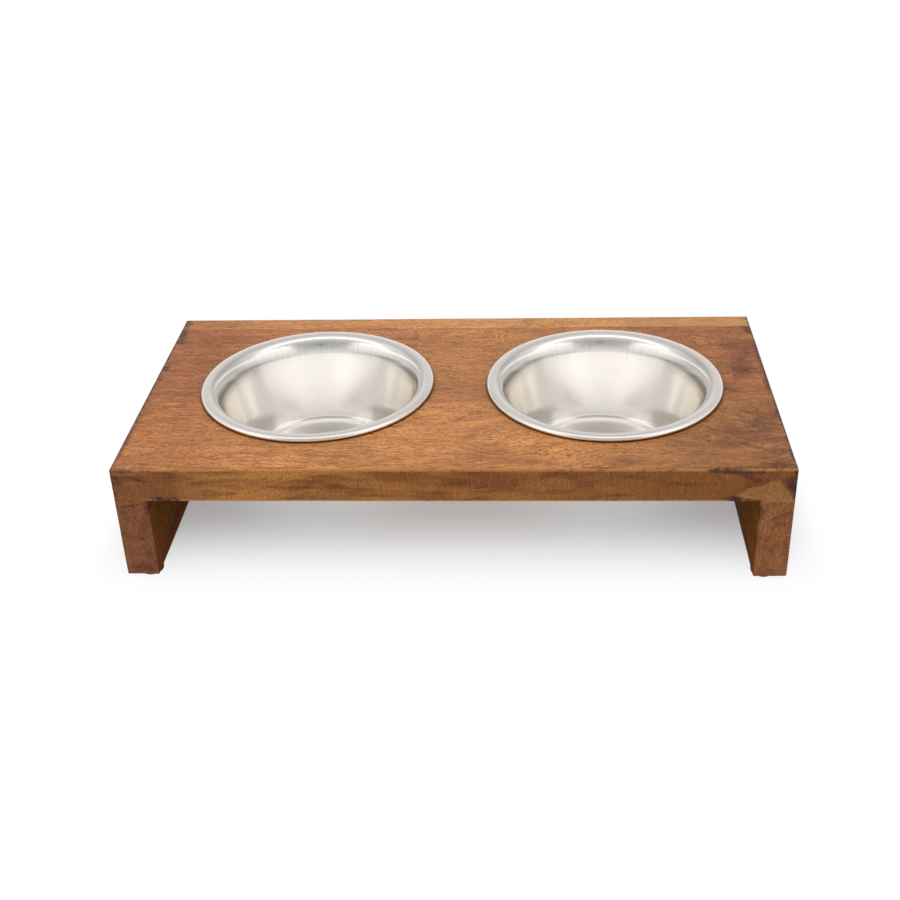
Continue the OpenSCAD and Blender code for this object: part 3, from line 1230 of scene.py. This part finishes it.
# %% Matt rim, polished wall and dull floor
def steel_finish(name, centre, floor_top):
    """One bowl's steel, round its own axis."""
    f = finish(name)
    place = f.own_place()
    x, y, z = f.split(f.moved(place, (-centre.x, -centre.y, 0)))
    radius = (x * x + y * y) ** 0.5
    east, north = x / radius, y / radius
    bead = f.rise(radius, *bead_rise)
    brush_edge = brush_radius + north * north * brush_shift
    brushed = f.rise(radius - brush_edge, -brush_blend, brush_blend) * (1.0 - bead)
    dull = f.rise(z, floor_top + 2 * floor_margin, floor_top + floor_margin)
    shoulder = f.between(radius, *shoulder_zone)
    ring_steps = f.join(radius * rings_per_metre, east * ring_waver + z * rings_per_metre,
                        north * ring_waver)
    rings = f.noise(ring_steps, 2.0, 0.6)
    run_steps = f.join(east * runs_round, north * runs_round, radius * runs_per_metre)
    runs = f.noise(run_steps, 2.0, 0.6)
    cloud = f.noise(f.scaled(place, clouds_per_metre))
    rough = 0.12 + brushed * 0.17 + shoulder * 0.03 + bead * 0.04 + dull * 0.16 + cloud * 0.04
    colour = f.mix(brushed, tint("f8f5f1"), tint("d5cfca"))
    colour = f.mix(dull, colour, f.mix(runs, tint("ddd5cb"), tint("f4efe8")))
    colour = f.mix(f.rise(runs, 0.52, 0.34) * shoulder * 0.22, colour, tint("b3ada5"))
    # painted shade: the lip and the roll are greyed at the bowl's two sides, to darken what they mirror
    # there
    painted_side_shade = f.rise(abs(north), 0.85, 0.30)
    lip = f.between(radius, *lip_zone)
    colour = f.mix(painted_side_shade * (lip * 0.62 + bead * 0.55), colour, tint("a39e97"))
    relief = rings * (0.12 + brushed * 0.70)
    return f.coated(colour, rough, relief, 0.5, polish_depth, {"Metallic": 1.0})


for name, bowl in bowls.items():
    floor_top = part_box(name)[0].z + sheet + disc_rise
    bowl.data.materials.append(steel_finish(name + "_brushed", box_centre(name), floor_top))

# %% [markdown]
# ## Rubber
# Black rubber is never quite black: a fine grain breaks its sheen and dust greys it.

# %% Foot rubber
dust_per_metre = (220, 220, 220)
skin_per_metre = (2600, 2600, 2600)
skin_depth = 0.1 * MM

rubber = finish("black_rubber")
place = rubber.own_place()
dust = rubber.noise(rubber.scaled(place, dust_per_metre), 4.0)
skin = rubber.noise(rubber.scaled(place, skin_per_metre), 2.0)
rubber_colour = rubber.lay(tint("141312"), "2c2a28", dust, 0.5, 0.8, 0.4)
foot_rubber = rubber.coated(rubber_colour, 0.55 + dust * 0.2, skin, 0.3, skin_depth, {})
for foot in feet.values():
    foot.data.materials.append(foot_rubber)

# %% [markdown]
# ## Hand over to the frame
# Every new piece takes the place of its node and rides on that node's body. The two
# bowls ride on bodies of their own, which lift out of the bench.

# %% Places and bodies
def stand_for(piece, node, body):
    """Puts a piece on a body, in place of the node that it stands for, which is hidden."""
    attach(piece, body)
    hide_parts(node)


for name, stave in staves.items():
    stand_for(stave, name, "bench")
for name, leg in legs.items():
    stand_for(leg, name, "bench")
for name, foot in feet.items():
    stand_for(foot, name, "bench")
stand_for(bowls["bowl_left"], "bowl_left", "left_bowl")
stand_for(bowls["bowl_right"], "bowl_right", "right_bowl")
print("pieces handed over:", len(staves) + len(legs) + len(feet) + len(bowls))

# %% Colour view and mirror bounces
bpy.context.scene.view_settings.view_transform = "Standard"
bpy.context.scene.cycles.glossy_bounces = mirror_bounces
